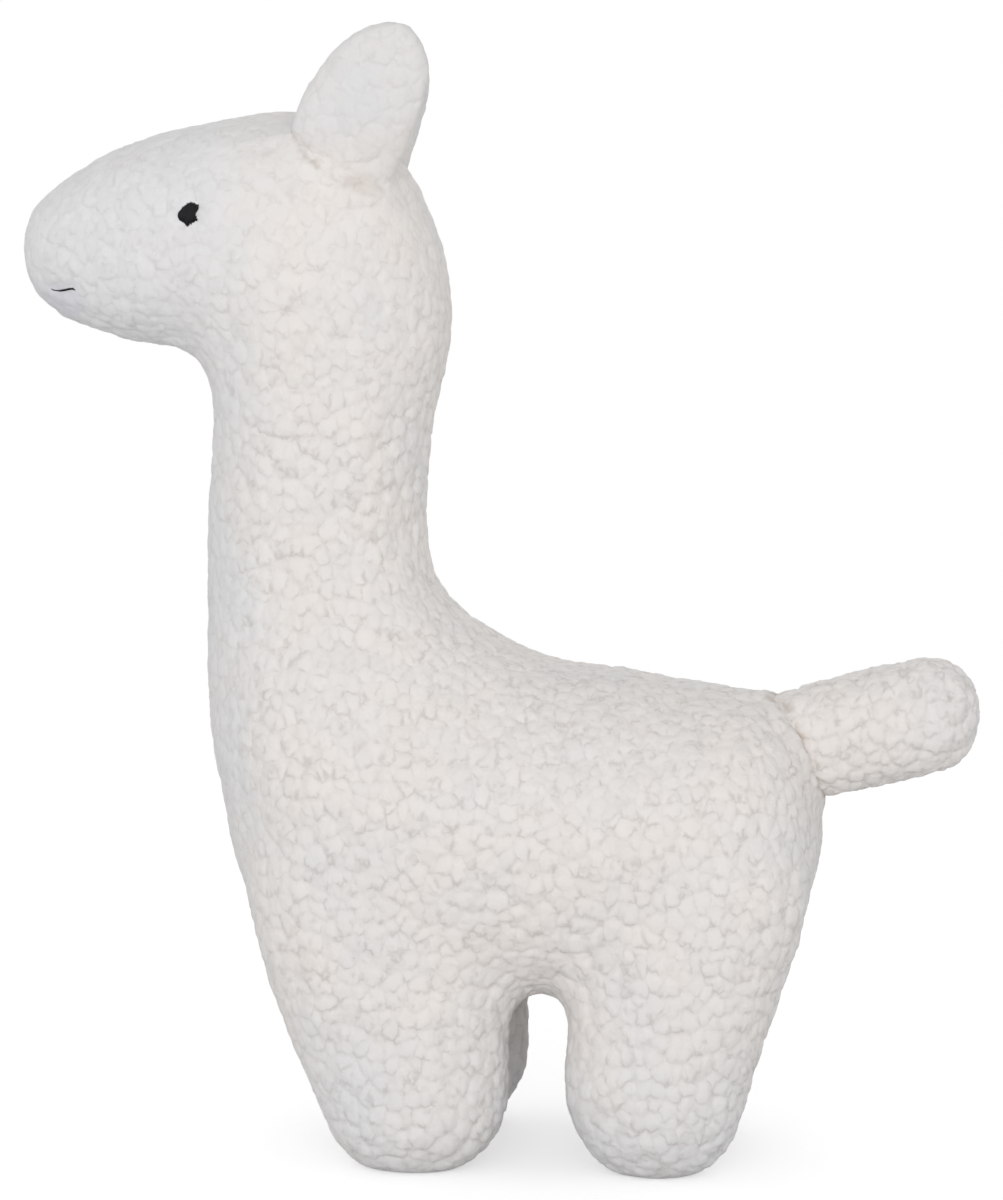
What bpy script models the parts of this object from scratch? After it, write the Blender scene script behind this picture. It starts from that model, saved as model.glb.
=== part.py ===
"""A stuffed toy llama in curly fleece, standing on its four feet and facing -X.

Metres, +Z up. The ground is z = 0, the toy's own left flank is on -Y, and the middle of its
length stands over the origin. The body with its neck, head and legs is one stuffed piece. The
ears and the tail are sewn on, and the eyes and the mouth are stitched on with dark thread.
"""

import math

import bmesh
import bpy
from mathutils import Vector
from mathutils.bvhtree import BVHTree

# Heights, from the ground up
LEG_LENGTH = 0.0468
BODY_DEPTH = 0.0920
NECK_LENGTH = 0.0963
HEAD_DEPTH = 0.068

# Lengths, from front to back
BODY_LENGTH = 0.1805
NECK_THICKNESS = 0.0669
NAPE_BULGE = 0.0074
HEAD_LENGTH = 0.1284

# Widths, from flank to flank
BODY_WIDTH = 0.102
NECK_WIDTH = 0.058
HEAD_WIDTH = 0.064

# Legs
FORELEG_SETBACK = 0.0155
FORELEG_TOP_LENGTH = 0.0776
FORELEG_FOOT_LENGTH = 0.0558
HINDLEG_INSET = 0.0
HINDLEG_TOP_LENGTH = 0.0615
HINDLEG_FOOT_SETBACK = 0.0172
HINDLEG_FOOT_LENGTH = 0.0550
LEG_WIDTH = 0.043
LEG_GAP = 0.011
FOREFOOT_ROUNDING = 0.021
HINDFOOT_ROUNDING = 0.028

# Ears
EAR_LENGTH = 0.0398
EAR_TIP_LENGTH = 0.020
EAR_WIDTH = 0.0318
EAR_THICKNESS = 0.0125
EAR_SPREAD = 0.040
EAR_FROM_NAPE = 0.0295
EAR_SINK = 0.010
EAR_LEAN = math.radians(15)
EAR_CURVE = 0.0022
EAR_SPLAY = math.radians(4)

# Tail
TAIL_LENGTH = 0.0510
TAIL_TIP_LENGTH = 0.0159
TAIL_DEPTH = 0.0342
TAIL_WIDTH = 0.030
TAIL_BELOW_BACK = 0.0171
TAIL_SINK = 0.010
TAIL_RISE = math.radians(14.5)

# Stitched face
EYE_HEIGHT = 0.0079
EYE_WIDTH = 0.0061
EYE_TILT = math.radians(24)
EYE_THICKNESS = 0.0009
EYE_FROM_NOSE = 0.0561
EYE_BELOW_CROWN = 0.0282
MOUTH_LENGTH = 0.0082
MOUTH_THREAD = 0.0010
MOUTH_FROM_NOSE = 0.0136
MOUTH_BELOW_CROWN = 0.0507

# Clearance between pieces that touch, and how far the standing weight flattens the feet
SEAM_GAP = 0.0003
SOLE_PRESS = 0.0038

# Fineness of the stuffed skin, and how often its joins are smoothed
SKIN_FACET = 0.0066
SKIN_SMOOTHING = 6

# Shares of the body's depth at which a leg reaches full length and at which it is swallowed
LEG_TOP_SHARE = 0.37
LEG_HIDDEN_SHARE = 0.62
LEG_HIDDEN_INSET = 0.14

# Squareness of the oval sections: 2 is an ellipse
TRUNK_SQUARENESS = 2.3
TAIL_SQUARENESS = 2.1

BELLY_HEIGHT = LEG_LENGTH
BACK_HEIGHT = BELLY_HEIGHT + BODY_DEPTH
CHIN_HEIGHT = BACK_HEIGHT + NECK_LENGTH
CROWN_HEIGHT = CHIN_HEIGHT + HEAD_DEPTH
CHEST_X = -BODY_LENGTH / 2
NECK_BACK_X = CHEST_X + NECK_THICKNESS
NAPE_X = NECK_BACK_X + NAPE_BULGE
NOSE_X = NAPE_X - HEAD_LENGTH
RUMP_X = CHEST_X + BODY_LENGTH


def head(forward, down):
    """A point beside the head: shares of its length from the nape, and of its depth from the crown."""
    return (NAPE_X - forward * HEAD_LENGTH, CROWN_HEIGHT - down * HEAD_DEPTH)


def neck(back, up):
    """A point beside the neck: shares of its thickness from the throat, and of its length."""
    return (CHEST_X + back * NECK_THICKNESS, BACK_HEIGHT + up * NECK_LENGTH)


def torso(back, up):
    """A point beside the torso: shares of its length from the chest, and of its depth."""
    return (CHEST_X + back * BODY_LENGTH, BELLY_HEIGHT + up * BODY_DEPTH)


def trunk_stations():
    """Sections from nose to rump: lower or front point, upper or back point, half width."""
    head_half = HEAD_WIDTH / 2
    neck_half = NECK_WIDTH / 2
    body_half = BODY_WIDTH / 2
    return [
        (head(0.995, 0.620), head(0.998, 0.560), 0.12 * head_half),
        (head(0.970, 0.750), head(0.982, 0.434), 0.44 * head_half),
        (head(0.910, 0.862), head(0.890, 0.276), 0.64 * head_half),
        (head(0.826, 0.931), head(0.760, 0.148), 0.78 * head_half),
        (head(0.718, 0.992), head(0.630, 0.062), 0.88 * head_half),
        (head(0.640, 1.000), head(0.490, 0.004), 0.95 * head_half),
        (head(0.575, 1.040), head(0.340, -0.010), head_half),
        (head(0.540, 1.220), head(0.180, 0.094), 1.02 * head_half),
        (neck(0.038, 0.720), head(0.050, 0.360), 1.01 * head_half),
        (neck(0.018, 0.510), head(0.000, 0.900), 0.5 * (head_half + neck_half)),
        (neck(0.002, 0.240), neck(1.020, 0.730), neck_half),
        (neck(0.006, 0.050), neck(0.998, 0.450), 0.25 * body_half + 0.60 * neck_half),
        (torso(0.016, 0.780), neck(1.105, 0.225), 0.80 * body_half),
        (torso(0.036, 0.600), torso(0.500, 1.100), 0.90 * body_half),
        (torso(0.058, 0.380), torso(0.598, 1.052), 0.97 * body_half),
        (torso(0.160, 0.080), torso(0.800, 1.000), body_half),
        (torso(0.390, 0.015), torso(0.880, 0.980), body_half),
        (torso(0.600, 0.035), torso(0.930, 0.955), 0.95 * body_half),
        (torso(0.800, 0.075), torso(0.970, 0.885), 0.84 * body_half),
        (torso(0.955, 0.250), torso(0.998, 0.740), 0.60 * body_half),
        (torso(1.004, 0.440), torso(1.006, 0.600), 0.22 * body_half),
    ]


def foreleg_stations():
    """Level sections of a foreleg, whose front leans out as it widens into the chest."""
    front = CHEST_X + FORELEG_SETBACK
    rear = front + FORELEG_TOP_LENGTH
    foot_front = rear - FORELEG_FOOT_LENGTH
    knee_front = 0.6 * front + 0.4 * foot_front
    return leg_sections(FOREFOOT_ROUNDING, (foot_front, rear), (knee_front, rear), (front, rear))


def hindleg_stations():
    """Level sections of a hind leg, whose foot stands forward of the rump."""
    rear = RUMP_X - HINDLEG_INSET
    front = rear - HINDLEG_TOP_LENGTH
    foot_rear = RUMP_X - HINDLEG_FOOT_SETBACK
    foot_front = foot_rear - HINDLEG_FOOT_LENGTH
    knee_rear = 0.6 * foot_rear + 0.4 * rear
    knee_front = 0.8 * foot_front + 0.2 * front
    foot, knee, top = (foot_front, foot_rear), (knee_front, knee_rear), (front, rear)
    return leg_sections(HINDFOOT_ROUNDING, foot, knee, top)


def leg_sections(rounding, foot, knee, top):
    """Height, front, rear and fullness of a foot rounded like an ellipse and the leg above it."""
    centre = 0.5 * (foot[0] + foot[1])
    sections = []
    for step in range(6):
        angle = math.radians(8 + 82 * step / 5)
        fullness = math.sin(angle) ** 0.9
        height = rounding * (1 - math.cos(angle)) - SOLE_PRESS
        front, rear = (centre + (end - centre) * fullness for end in foot)
        sections.append((height, front, rear, fullness))
    inset = LEG_HIDDEN_INSET * (top[1] - top[0])
    sections.append((BELLY_HEIGHT, *knee, 1.0))
    sections.append((BELLY_HEIGHT + LEG_TOP_SHARE * BODY_DEPTH, *top, 1.0))
    hidden_height = BELLY_HEIGHT + LEG_HIDDEN_SHARE * BODY_DEPTH
    sections.append((hidden_height, top[0] + inset, top[1] - inset, 1 - LEG_HIDDEN_INSET))
    return sections


def smooth_rows(rows, steps):
    """Rows of numbers with a Catmull-Rom curve run through each column."""
    out = []
    last = len(rows) - 1
    for i in range(last):
        before, here, there, after = (rows[min(max(i + k, 0), last)] for k in (-1, 0, 1, 2))
        for step in range(steps):
            t = step / steps
            out.append([
                0.5 * (2 * b + (c - a) * t + (2 * a - 5 * b + 4 * c - d) * t ** 2
                       + (3 * b - a - 3 * c + d) * t ** 3)
                for a, b, c, d in zip(before, here, there, after)
            ])
    out.append(list(rows[-1]))
    return out


def ring(centre, across, side, count, squareness=2.0):
    """Points round an oval section, from two half axes."""
    points = []
    for i in range(count):
        angle = 2 * math.pi * i / count
        cos, sin = math.cos(angle), math.sin(angle)
        u = math.copysign(abs(cos) ** (2 / squareness), cos)
        v = math.copysign(abs(sin) ** (2 / squareness), sin)
        points.append(centre + across * u + side * v)
    return points


def loft(bm, rings):
    """A closed skin over a list of rings, with a cap at each end."""
    loops = [[bm.verts.new(point) for point in points] for points in rings]
    for one, two in zip(loops, loops[1:]):
        for i in range(len(one)):
            j = (i + 1) % len(one)
            bm.faces.new((one[i], one[j], two[j], two[i]))
    bm.faces.new(reversed(loops[0]))
    bm.faces.new(loops[-1])


def finish_mesh(bm, name):
    """Writes a bmesh with its faces turned outwards to a new mesh."""
    bmesh.ops.recalc_face_normals(bm, faces=bm.faces)
    if bm.calc_volume(signed=True) < 0:
        bmesh.ops.reverse_faces(bm, faces=bm.faces)
    mesh = bpy.data.meshes.new(name)
    bm.to_mesh(mesh)
    bm.free()
    mesh.shade_smooth()
    return mesh


def add_object(name, mesh, material=None):
    piece = bpy.data.objects.new(name, mesh)
    bpy.context.scene.collection.objects.link(piece)
    if material:
        mesh.materials.append(material)
    return piece


def evaluated_bmesh(piece):
    """The object's mesh after its modifiers."""
    bpy.context.view_layer.update()
    bm = bmesh.new()
    bm.from_object(piece, bpy.context.evaluated_depsgraph_get())
    return bm


def make_material(name, colour, roughness):
    material = bpy.data.materials.new(name)
    material.use_nodes = True
    shader = material.node_tree.nodes["Principled BSDF"]
    shader.inputs["Base Color"].default_value = (*colour, 1.0)
    shader.inputs["Roughness"].default_value = roughness
    shader.inputs["Metallic"].default_value = 0.0
    material.diffuse_color = (*colour, 1.0)
    return material


def trunk_rings():
    rows = [[*low, *high, half] for low, high, half in trunk_stations()]
    rings = []
    for low_x, low_z, high_x, high_z, half in smooth_rows(rows, 3):
        low = Vector((low_x, 0, low_z))
        high = Vector((high_x, 0, high_z))
        side = Vector((0, half, 0))
        rings.append(ring((low + high) / 2, (high - low) / 2, side, 28, TRUNK_SQUARENESS))
    return rings


def leg_rings(sections, side):
    middle = side * (LEG_GAP + LEG_WIDTH) / 2
    rings = []
    for height, front, rear, fullness in smooth_rows([list(s) for s in sections], 2):
        centre = Vector(((front + rear) / 2, middle, height))
        along = Vector(((rear - front) / 2, 0, 0))
        across = Vector((0, side * fullness * LEG_WIDTH / 2, 0))
        rings.append(ring(centre, along, across, 20, TRUNK_SQUARENESS))
    return rings


def make_body(material):
    """The trunk and the four legs blown into one smooth skin, standing on flat soles."""
    bm = bmesh.new()
    loft(bm, trunk_rings())
    for sections in (foreleg_stations(), hindleg_stations()):
        for side in (-1, 1):
            loft(bm, leg_rings(sections, side))
    rough = add_object("body_rough", finish_mesh(bm, "body_rough"))
    skin = rough.modifiers.new("one skin", "REMESH")
    skin.mode = "VOXEL"
    skin.voxel_size = SKIN_FACET
    stuffing = rough.modifiers.new("stuffing", "SMOOTH")
    stuffing.factor = 0.5
    stuffing.iterations = SKIN_SMOOTHING
    bm = evaluated_bmesh(rough)
    bpy.data.objects.remove(rough)
    whole = bm.verts[:] + bm.edges[:] + bm.faces[:]
    bmesh.ops.symmetrize(bm, input=whole, direction="-Y", dist=1e-5)
    flatten_soles(bm)
    return add_object("body", finish_mesh(bm, "body"), material)


def flatten_soles(bm):
    """Cuts the feet level at the ground and closes each sole with one flat face."""
    whole = bm.verts[:] + bm.edges[:] + bm.faces[:]
    bmesh.ops.bisect_plane(
        bm, geom=whole, dist=1e-6, plane_co=(0, 0, 0), plane_no=(0, 0, 1), clear_inner=True
    )
    rim = [edge for edge in bm.edges if edge.is_boundary]
    bmesh.ops.holes_fill(bm, edges=rim, sides=0)


def surface_of(piece, offset=0.0):
    """A search tree over an object's surface, moved out by the offset."""
    bm = evaluated_bmesh(piece)
    bm.normal_update()
    for vert, normal in [(v, v.normal.copy()) for v in bm.verts]:
        vert.co += normal * offset
    tree = BVHTree.FromBMesh(bm)
    bm.free()
    return tree


def hit(tree, origin, direction):
    point = tree.ray_cast(Vector(origin), Vector(direction))[0]
    if point is None:
        raise ValueError("a sewn-on piece misses the body")
    return point


def seat_on(piece, body):
    """Cuts the sunk end of a piece to the body's surface, a seam gap above it."""
    grown = add_object("grown_body", body.data.copy())
    normals = [vertex.normal.copy() for vertex in grown.data.vertices]
    for vertex, normal in zip(grown.data.vertices, normals):
        vertex.co += normal * SEAM_GAP
    cut = piece.modifiers.new("seat", "BOOLEAN")
    cut.operation = "DIFFERENCE"
    cut.solver = "EXACT"
    cut.object = grown
    bm = evaluated_bmesh(piece)
    piece.modifiers.remove(cut)
    bpy.data.objects.remove(grown)
    keep_largest(bm)
    bmesh.ops.dissolve_degenerate(bm, edges=bm.edges[:], dist=1e-6)
    bmesh.ops.triangulate(bm, faces=bm.faces[:])
    bm.to_mesh(piece.data)
    bm.free()


def keep_largest(bm):
    """Drops all but the piece with the most faces."""
    todo = set(bm.verts)
    groups = []
    while todo:
        group = set()
        front = [todo.pop()]
        while front:
            vert = front.pop()
            group.add(vert)
            for edge in vert.link_edges:
                other = edge.other_vert(vert)
                if other in todo:
                    todo.remove(other)
                    front.append(other)
        groups.append(group)
    groups.sort(key=len)
    for group in groups[:-1]:
        bmesh.ops.delete(bm, geom=list(group), context="VERTS")


def mirrored(piece, name):
    """A mirror copy of a left-hand piece for the right-hand side."""
    bm = bmesh.new()
    bm.from_mesh(piece.data)
    for vert in bm.verts:
        vert.co.y = -vert.co.y
    bmesh.ops.reverse_faces(bm, faces=bm.faces)
    mesh = finish_mesh(bm, name)
    return add_object(name, mesh, piece.data.materials[0])


def make_ear(body, material):
    """A leaf of two fleece layers, rounded at its tip, sewn to the side of the crown."""
    surface = surface_of(body)
    top = hit(surface, (NAPE_X - EAR_FROM_NAPE, -EAR_SPREAD / 2, 2 * CROWN_HEIGHT), (0, 0, -1))
    up = Vector((math.sin(EAR_LEAN), -math.sin(EAR_SPLAY), math.cos(EAR_LEAN))).normalized()
    along = Vector((math.cos(EAR_LEAN), 0, -math.sin(EAR_LEAN)))
    out = along.cross(up).normalized()
    root = top - up * EAR_SINK
    reach = EAR_LENGTH + EAR_SINK
    shoulder = 1 - EAR_TIP_LENGTH / reach
    profile = [[0.0, 0.84], [0.35 * shoulder, 0.95], [0.75 * shoulder, 1.0]]
    for step in range(8):
        angle = math.radians(88 - 12 * step)
        profile.append([1 - EAR_TIP_LENGTH / reach * angle / math.radians(90), math.sin(angle) ** 0.85])
    rings = []
    for share, width in smooth_rows(profile, 2):
        centre = root + up * (reach * share) + along * (EAR_CURVE * share ** 3)
        thick = EAR_THICKNESS / 2 * width ** 0.5
        rings.append(ring(centre, along * (width * EAR_WIDTH / 2), out * thick, 16))
    bm = bmesh.new()
    loft(bm, rings)
    ear = add_object("ear_left", finish_mesh(bm, "ear_left"), material)
    seat_on(ear, body)
    return ear


def make_tail(body, material):
    """A stuffed sock with a rounded end, sewn to the top of the rump and raised a little."""
    surface = surface_of(body)
    start = hit(surface, (2 * BODY_LENGTH, 0, BACK_HEIGHT - TAIL_BELOW_BACK), (-1, 0, 0))
    along = Vector((math.cos(TAIL_RISE), 0, math.sin(TAIL_RISE)))
    up = Vector((-math.sin(TAIL_RISE), 0, math.cos(TAIL_RISE)))
    side = Vector((0, 1, 0))
    root = start - along * TAIL_SINK
    reach = TAIL_LENGTH + TAIL_SINK
    shoulder = 1 - TAIL_TIP_LENGTH / reach
    profile = [[0.0, 0.92], [0.4 * shoulder, 0.98], [0.75 * shoulder, 1.0]]
    for step in range(8):
        angle = math.radians(12 * step)
        profile.append([shoulder + (1 - shoulder) * math.sin(angle), 0.98 * math.cos(angle) ** 0.8])
    rings = []
    for share, size in smooth_rows(profile, 2):
        centre = root + along * (reach * share)
        half_up, half_side = up * (size * TAIL_DEPTH / 2), side * (size * TAIL_WIDTH / 2)
        rings.append(ring(centre, half_up, half_side, 24, TAIL_SQUARENESS))
    bm = bmesh.new()
    loft(bm, rings)
    tail = add_object("tail", finish_mesh(bm, "tail"), material)
    seat_on(tail, body)
    return tail


def make_eye(body, material):
    """An oval of dark satin stitch, a low dome on the side of the head."""
    near = surface_of(body, SEAM_GAP)
    centre = Vector((NOSE_X + EYE_FROM_NOSE, 0, CROWN_HEIGHT - EYE_BELOW_CROWN))
    long_axis = Vector((math.sin(EYE_TILT), 0, math.cos(EYE_TILT)))
    short_axis = Vector((math.cos(EYE_TILT), 0, -math.sin(EYE_TILT)))
    bm = bmesh.new()
    backs, fronts = [], []
    for share in (1.0, 0.92, 0.6, 0.25):
        dome = EYE_THICKNESS * (0.45 + 0.55 * math.sqrt(1 - share ** 2))
        half_long, half_short = long_axis * (share * EYE_HEIGHT / 2), short_axis * (share * EYE_WIDTH / 2)
        outline = ring(centre, half_long, half_short, 18)
        seats = [hit(near, (p.x, -BODY_WIDTH, p.z), (0, 1, 0)) for p in outline]
        backs.append([bm.verts.new(p) for p in seats])
        fronts.append([bm.verts.new(p - Vector((0, dome, 0))) for p in seats])
    for layer in (backs, fronts):
        for one, two in zip(layer, layer[1:]):
            bridge(bm, one, two)
        bm.faces.new(layer[-1])
    bridge(bm, backs[0], fronts[0])
    return add_object("eye_left", finish_mesh(bm, "eye_left"), material)


def bridge(bm, one, two):
    for i in range(len(one)):
        j = (i + 1) % len(one)
        bm.faces.new((one[i], one[j], two[j], two[i]))


def make_mouth(body, material):
    """A short wavy line of dark thread lying on the side of the snout."""
    radius = MOUTH_THREAD / 2
    lying = surface_of(body, SEAM_GAP + 1.3 * radius)
    start = Vector((NOSE_X + MOUTH_FROM_NOSE, -BODY_WIDTH, CROWN_HEIGHT - MOUTH_BELOW_CROWN))
    wave = [[0.0, 0.0], [0.28, -0.067], [0.50, -0.013], [0.72, 0.076], [0.93, 0.060], [1.0, -0.010]]
    line = []
    for along, up in smooth_rows(wave, 3):
        line.append(hit(lying, start + Vector((along, 0, up)) * MOUTH_LENGTH, (0, 1, 0)))
    rings = []
    for i, point in enumerate(line):
        ahead = (line[min(i + 1, len(line) - 1)] - line[max(i - 1, 0)]).normalized()
        across = ahead.cross(Vector((0, 1, 0))).normalized()
        up = across.cross(ahead).normalized()
        rings.append(ring(point, across * radius, up * radius, 8))
    bm = bmesh.new()
    loft(bm, rings)
    return add_object("mouth_left", finish_mesh(bm, "mouth_left"), material)


def stand_over_origin(pieces):
    """Moves the whole toy along X until the middle of its length is over the origin."""
    xs = [vertex.co.x for piece in pieces for vertex in piece.data.vertices]
    shift = -(min(xs) + max(xs)) / 2
    for piece in pieces:
        for vertex in piece.data.vertices:
            vertex.co.x += shift


def main():
    for old in list(bpy.data.objects):
        bpy.data.objects.remove(old)
    fleece = {
        name: make_material(name, (0.80, 0.77, 0.74), 0.95)
        for name in ("body_fleece", "ear_fleece", "tail_fleece")
    }
    thread = make_material("dark_thread", (0.012, 0.012, 0.014), 0.55)
    body = make_body(fleece["body_fleece"])
    ear = make_ear(body, fleece["ear_fleece"])
    tail = make_tail(body, fleece["tail_fleece"])
    eye = make_eye(body, thread)
    mouth = make_mouth(body, thread)
    pieces = [body, tail, ear, eye, mouth]
    for piece, name in ((ear, "ear_right"), (eye, "eye_right"), (mouth, "mouth_right")):
        pieces.append(mirrored(piece, name))
    stand_over_origin(pieces)


main()
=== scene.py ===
"""A stuffed toy llama in curly cream fleece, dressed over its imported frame.

Metres, +Z up, the toy's own left flank on -Y. Each fleece piece starts from its frame solid, is
pushed softly into shape, is swollen by a short cloth simulation as its stuffing swells it, and then
gets its wool curls. The eyes and the mouth are threads laid on the finished fleece.
"""

import math

import bmesh
import bpy
import numpy as np
from bpy.props import FloatProperty, FloatVectorProperty, IntProperty, PointerProperty
from bpy.types import Operator, Panel, PropertyGroup
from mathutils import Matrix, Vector
from mathutils.bvhtree import BVHTree


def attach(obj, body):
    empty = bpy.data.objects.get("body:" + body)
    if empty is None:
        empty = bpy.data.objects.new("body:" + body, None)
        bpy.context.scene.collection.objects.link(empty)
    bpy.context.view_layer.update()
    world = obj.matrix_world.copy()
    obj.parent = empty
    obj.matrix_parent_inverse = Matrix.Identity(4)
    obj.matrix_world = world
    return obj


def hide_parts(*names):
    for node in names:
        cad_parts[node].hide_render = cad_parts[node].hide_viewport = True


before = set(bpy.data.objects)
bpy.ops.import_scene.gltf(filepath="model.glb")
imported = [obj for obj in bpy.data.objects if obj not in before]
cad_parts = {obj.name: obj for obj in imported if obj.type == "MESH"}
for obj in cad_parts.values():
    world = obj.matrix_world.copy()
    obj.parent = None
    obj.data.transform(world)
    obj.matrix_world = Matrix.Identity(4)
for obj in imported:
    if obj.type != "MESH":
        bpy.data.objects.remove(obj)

bl_info = {
    "name": "Plush Llama",
    "version": (1, 0, 0),
    "blender": (4, 5, 0),
    "location": "3D Viewport > Sidebar > Plush Llama",
    "description": "Dresses a stuffed toy llama in curly fleece and stitches its face",
    "category": "Object",
}

MM = 0.001
# the seed of the stitches' unevenness
SEED = 7
# the two node trees and the thread's finish, each made once and found again by its name
CURLS = "fleece curls"
STITCHES = "embroidery"
YARN = "Rayon embroidery thread, black"

# the attribute that keeps where a point lay before its curl was raised, for the material's patterns
SMOOTH_PLACE = "smooth_place"

# the stuffing as a cloth simulation
SWELL_FRAMES = 20
PRESSURE = 4.0

# the soles are flat: the cloth is held below one height, and drawn down to the ground below the other
SOLE_HELD = 5 * MM
SOLE_FADE = 8 * MM

# a piece's points this near to the body are its seam allowance, which is sunk into the body
SEWN_WITHIN = 0.6 * MM
TAIL_ROOT = Vector((-9 * MM, 0, -2 * MM))
EAR_ROOT = Vector((-1 * MM, 0, -7 * MM))

# an ear is narrower than its solid, leans back and grows above its foot, and tucks inwards near it
EAR_FOOT = 285 * MM
EAR_LEAN = 0.05
EAR_NARROW = 0.05
EAR_GROW = 0.03
EAR_FADE = 18 * MM
EAR_TUCK = 2.6 * MM

# across an eye, and the lower and upper ends of its stitches there, in shares of its half sizes
EYE_SHAPE = (
    (-1.0, -0.22, 0.04), (-0.9, -0.45, 0.26), (-0.76, -0.56, 0.44), (-0.48, -0.70, 0.66),
    (-0.19, -0.87, 0.88), (0.04, -1.0, 1.0), (0.29, -0.86, 0.97), (0.48, -0.75, 0.95), (0.71, -0.64, 0.87),
    (1.0, -0.5, 0.7),
)
# a notch in the eye's rear side: across the eye, and how far it opens there
EYE_NOTCH = ((0.8, 1.0), (0.05, 0.4))
# the mouth line, X and Z in millimetres
MOUTH_KNOTS = (
    (-128.7, 252.6), (-127.7, 252.1), (-126.1, 252.0), (-124.1, 252.4), (-122.9, 252.7),
    (-121.3, 253.0), (-120.4, 252.4),
)
# the middle of the painted shade round the mouth
MOUTH_MIDDLE = (-126 * MM, 0.0, 248.5 * MM)

# sizes of the patterns: the fleece's cooler patches, the breaks in a seam, the rags along it and, drawn
# as coarse as they need to be to show, the fibres of the pile and the strands of the thread
PATCH = 26 * MM
SEAM_BREAK = 5 * MM
SEAM_RAG = 4 * MM
FIBRE = 0.9 * MM
STRAND = 0.5 * MM

# where the fleece is cooler: start and end of the change, and the share of cool white at its end
# painted light: the cooler light on the front of the head, neck and chest, painted into the pile
PAINTED_COOL_LIGHT_X = (-50 * MM, -92 * MM, 0.8)
COOL_FEET_Z = (50 * MM, 5 * MM, 0.6)
COOL_EAR_TIPS_Z = (292 * MM, 318 * MM, 0.55)
# where a seam shows more bare knit and more painted shade in its crease: start and end of the change, and
# how many times as much
KNIT_AND_SHADE_BEFORE_EARS_X = (-46 * MM, -56 * MM, 3.2)
KNIT_AND_SHADE_AT_TAIL_X = (66 * MM, 74 * MM, 2.0)

# how the filling shapes the cloth: X, Z and reach of each push, then the push along X and Z, in millimetres
BODY_PUSHES = (
    (-84.6, 223.0, 24.0, -2.1, 0.0), (-86.0, 187.0, 32.0, -1.1, 0.0), (-111.5, 294.0, 30.0, -0.4, 1.1),
    (-133.5, 282.0, 20.0, -0.8, 0.5), (-21.5, 194.0, 32.0, 1.5, 0.0), (-15.5, 244.0, 28.0, 0.8, 0.0),
    (-21.5, 279.0, 18.0, -0.9, 0.0), (17.0, 146.0, 27.0, 0.0, -1.7), (50.0, 139.0, 27.0, 0.0, -1.4),
    (92.0, 86.0, 22.0, 1.0, 0.0), (-83.0, 130.0, 60.0, -0.8, 0.0),
)
TAIL_PUSHES = ((139.0, 126.0, 16.0, -1.2, 0.6),)
# the near ear spreads at its rear edge and hides the far ear, which leans a little further forward
EAR_PUSHES = {
    "left": (
        (-27.0, 318.0, 13.0, 1.9, 0.4), (-48.0, 320.0, 12.0, 0.6, -0.3), (-54.0, 303.0, 15.0, -2.6, 0.0),
        (-20.0, 316.0, 20.0, 3.2, 0.2), (-24.0, 296.0, 20.0, 2.8, 0.0), (-24.0, 327.0, 11.0, 2.0, 0.4),
    ),
    "right": ((-27.0, 312.0, 26.0, -1.8, 0.0), (-30.0, 328.0, 11.0, -0.8, -1.0)),
}

# the studio: what the camera and the lamps aim at, and the width of a softbox
AIM = Vector((0.0, 0.0, 162 * MM))
SOFTBOX = 1.1
# the even light falls off to this share overhead
ZENITH_SHARE = 0.45
# how much of its own light the floor shows to the camera, so that it meets the white background
FLOOR_LIFT = 0.53


def linear(hex_colour):
    """The linear colour of an sRGB hex value."""
    parts = [int(hex_colour[i:i + 2], 16) / 255 for i in (0, 2, 4)]
    return tuple(c / 12.92 if c <= 0.04045 else ((c + 0.055) / 1.055) ** 2.4 for c in parts)


def length_property(name, description, default):
    return FloatProperty(name=name, description=description, default=default, unit="LENGTH", precision=5)


def colour_property(name, description, hex_colour):
    return FloatVectorProperty(
        name=name, description=description, default=linear(hex_colour),
        size=3, min=0.0, max=1.0, subtype="COLOR",
    )


class FleeceSettings(PropertyGroup):
    """Sizes and colours of the teddy fleece and its stuffing"""

    curl_width: length_property("Curl Width", "Width of one wool curl", 4.2 * MM)
    curl_length: length_property("Curl Length", "Height of one wool curl, down the pile", 5.0 * MM)
    curl_height: length_property("Curl Height", "How far a curl stands out of its crevices", 0.85 * MM)
    slack: length_property("Slack", "How far inside the solid's surface the unstuffed cloth lies", 0.2 * MM)
    swell: length_property("Swell", "How far the stuffing may push the cloth out", 1.6 * MM)
    facet: length_property("Facet", "Spacing of the cloth's points while it is stuffed", 3.9 * MM)
    cream: colour_property("Cream", "Main colour of the pile", "EBE6E2")
    # partly painted light: besides random patches, this colour paints the cooler light on the front of the
    # head, neck and chest
    cool: colour_property("Cool White", "Colour of the cooler patches", "E4E4E5")
    # painted shade: this colour darkens the crevices, most under the curls, where shade falls in the pile
    crevice_shade: colour_property("Crevice", "Colour of the backing between the curls", "BAB3AE")
    # partly painted shade: besides bare knit, this colour paints the shade in the crease where two pieces
    # meet
    seam: colour_property("Seam", "Colour of the bare knit that a seam draws open", "B5A394")
    # painted shade: the cool shade round the mouth line
    mouth_shade: colour_property("Lilac", "Colour of the pile that the mouth stitches draw in", "D0D0DB")


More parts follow.
